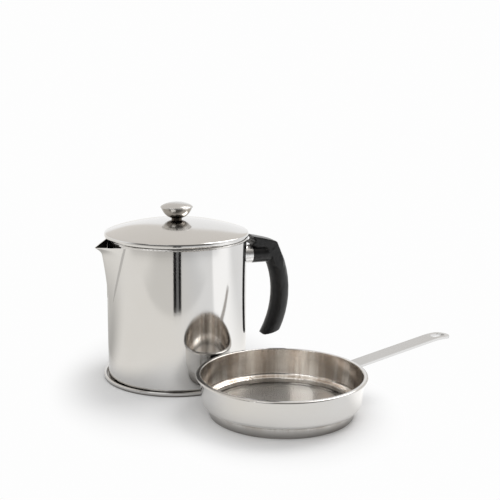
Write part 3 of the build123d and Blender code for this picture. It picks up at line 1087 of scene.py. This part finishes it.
# %% Where the floor takes a shadow
shadow_start = 0.95
shadow_end = 1.75
warm_paper = (1.0, 0.975, 0.93, 1)
pan_radius = strainer_high.x - strainer_axis[0]
foot_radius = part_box("pot_base")[1].x


def rings_from(centre, radius, depth_share):
    """Distance from a foot in foot radii, shorter along the view so that rings turn oval."""
    foot_aside = aside - (centre[0] * across.x + centre[1] * across.y)
    foot_ahead = ahead - (centre[0] * into.x + centre[1] * into.y)
    return (foot_aside * foot_aside + foot_ahead * foot_ahead * depth_share) ** 0.5 / radius


pot_rings = rings_from(pot_axis, foot_radius, depth_share=0.38)
pan_rings = rings_from(strainer_axis, pan_radius, depth_share=0.64)
pot_fade = paper.ramp(pot_rings, shadow_start, shadow_end)
pan_fade = paper.ramp(pan_rings, shadow_start, shadow_end)
matte = paper.node("ShaderNodeBsdfDiffuse", inputs={"Color": grey(0.90), "Roughness": 0.0})
sight = paper.node("ShaderNodeLightPath", output="Is Camera Ray")
gloss = paper.node("ShaderNodeLightPath", output="Is Glossy Ray")
tint = paper.blend(gloss * paper.ramp(aside, 0.30, -0.05), white, warm_paper)
glow = paper_level * (sight + gloss * brightness)
even_white = paper.node("ShaderNodeEmission", inputs={"Color": tint, "Strength": glow})
paper.plug(paper.surface.inputs[0], pot_fade * pan_fade * (sight + gloss))
paper.plug(paper.surface.inputs[1], matte)
paper.plug(paper.surface.inputs[2], even_white)
print("foot radius:", round(foot_radius, 4), "pan radius:", round(pan_radius, 4))

# %% [markdown]
# ## The sky
#
# The sky does three things. To the camera it is the same white as the floor. To matte surfaces
# it is a soft lamp from all sides. In a reflection it is a room: bright walls, a slightly warm
# and darker ceiling, and a dark end in front of the pot, where the viewer would stand.

# %% Build the sky
sky = Finish("studio_sky", "ShaderNodeBackground", world=True)
bpy.context.scene.world = sky.block
# In a world, the Generated coordinates are the direction that is looked in.
east, north, up = sky.axes(sky.node("ShaderNodeTexCoord", output="Generated"))
seen = sky.node("ShaderNodeLightPath", output="Is Camera Ray")
mirrored = sky.node("ShaderNodeLightPath", output="Is Glossy Ray")
room_level = 1.03
lamp_level = 0.72
ceiling_dimming = 0.22
ceiling_start = 0.44
ceiling_full = 0.53
ceiling_droop = 7.0
most_droop = 0.3
warm_ceiling = (1.0, 0.955, 0.90, 1)
dark_start = -0.15
dark_full = -0.60
darkest = 0.85

sideways = east * across.x + north * across.y
forward = east * into.x + north * into.y
# The ceiling's edge comes lower to the sides, where the room is nearer.
droop = ceiling_droop * sideways * sideways
droop = sky.node("ShaderNodeMath", {"operation": "MINIMUM"}, {0: droop, 1: most_droop})
ceiling = sky.ramp(up + droop, ceiling_start, ceiling_full)
dark_end = sky.ramp(forward, dark_start, dark_full, 0.0, darkest)
room = (room_level - ceiling_dimming * ceiling) * (1 - dark_end)
soft_lamp = lamp_level * (1 - seen) * (1 - mirrored)
sky_tint = sky.blend(ceiling * mirrored, white, warm_ceiling)
sky.set(Color=sky_tint, Strength=soft_lamp + paper_level * seen + room * mirrored)
print("sky nodes:", len(sky.tree.nodes))

# %% [markdown]
# ## The dark stand
#
# A light stand in front of the pot shows in its wall as two dark lines with a lighter gap. A
# stripe painted on the wall would stay put when the view turns, which a reflection doesn't. So
# the stand is three cards, two black and one grey between them, that only reflections see.

# %% Stand the cards
stand_distance = 0.340
stand_height = 0.13
card_sheet = 2.0 * MM


def card(name, shade, centre, width):
    """An upright card in front of the pot, seen in reflections only."""
    bpy.ops.object.select_all(action="DESELECT")
    spot = across * centre - into * stand_distance
    bpy.ops.mesh.primitive_cube_add(size=1.0, location=(spot.x, spot.y, stand_height / 2))
    piece = added(name)
    piece.scale = (width, card_sheet, stand_height)
    piece.rotation_euler = (0, 0, -turn)
    bpy.ops.object.transform_apply(location=True, rotation=True, scale=True)
    paint = Finish(name + "_paint", "ShaderNodeBsdfDiffuse")
    paint.set(Color=grey(shade))
    piece.data.materials.append(paint.block)
    piece.visible_camera = False
    piece.visible_diffuse = False
    piece.visible_shadow = False
    print(name, "is", round(width / MM), "mm wide")


card("stand_left", shade=0.01, centre=0.0064, width=0.025)
card("stand_middle", shade=0.22, centre=0.029, width=0.021)
card("stand_right", shade=0.01, centre=0.0506, width=0.023)

# %% [markdown]
# ## Lamps
#
# The sky already lights everything evenly. Two large square lamps give the light a side: a
# stronger one from the right, behind the pot, and a weak one from the left, in front of it, which
# fills the shadows. They are large for their distance, so the strainer's shadow stays soft.

# %% Soft lamps
lamp_size = 0.9
pot_middle = Vector((0.0, 0.0, 0.05))


def softbox(name, place, power):
    """A square area lamp that faces the pot."""
    data = bpy.data.lights.new(name, "AREA")
    data.shape = "SQUARE"
    data.size = lamp_size
    data.energy = power
    lamp = bpy.data.objects.new(name, data)
    bpy.context.scene.collection.objects.link(lamp)
    lamp.location = place
    lamp.rotation_euler = (pot_middle - Vector(place)).to_track_quat("-Z", "Y").to_euler()
    print(name, "has", power, "watts")


softbox("key_softbox", place=(1.0, 0.2, 1.3), power=9.0)
softbox("fill_softbox", place=(-1.0, -0.8, 1.1), power=3.5)

# %% [markdown]
# ## The camera
#
# The camera stands as far off as someone at the same table, a little above the lid, and looks
# down at a slight angle, so the pot's sides stay nearly parallel and its rim is a slim oval.
# It is set by three turns: a tip up from straight down, the turn round the pot and a small roll.

# %% Place the camera
camera_aside = 0.06719
camera_back = 0.9002
camera_height = 0.3009
pitch_down = math.radians(11.46)
lean = math.radians(0.54)

camera_data = bpy.data.cameras.new("camera")
camera_data.sensor_width = 36.0
camera_data.lens = 72.0
camera_data.clip_start = 0.01
camera = bpy.data.objects.new("camera", camera_data)
bpy.context.scene.collection.objects.link(camera)
bpy.context.scene.camera = camera
camera.location = across * camera_aside - into * camera_back + Vector((0, 0, camera_height))
tip = Quaternion((1, 0, 0), math.pi / 2 - pitch_down)
spin = Quaternion((0, 0, 1), -turn)
roll = Quaternion((0, 0, 1), lean)
camera.rotation_mode = "QUATERNION"
camera.rotation_quaternion = spin @ tip @ roll
print("camera at", [round(v, 3) for v in camera.location])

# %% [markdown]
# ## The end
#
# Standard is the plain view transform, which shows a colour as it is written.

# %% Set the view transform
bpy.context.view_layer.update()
scene = bpy.context.scene
scene.view_settings.view_transform = "Standard"
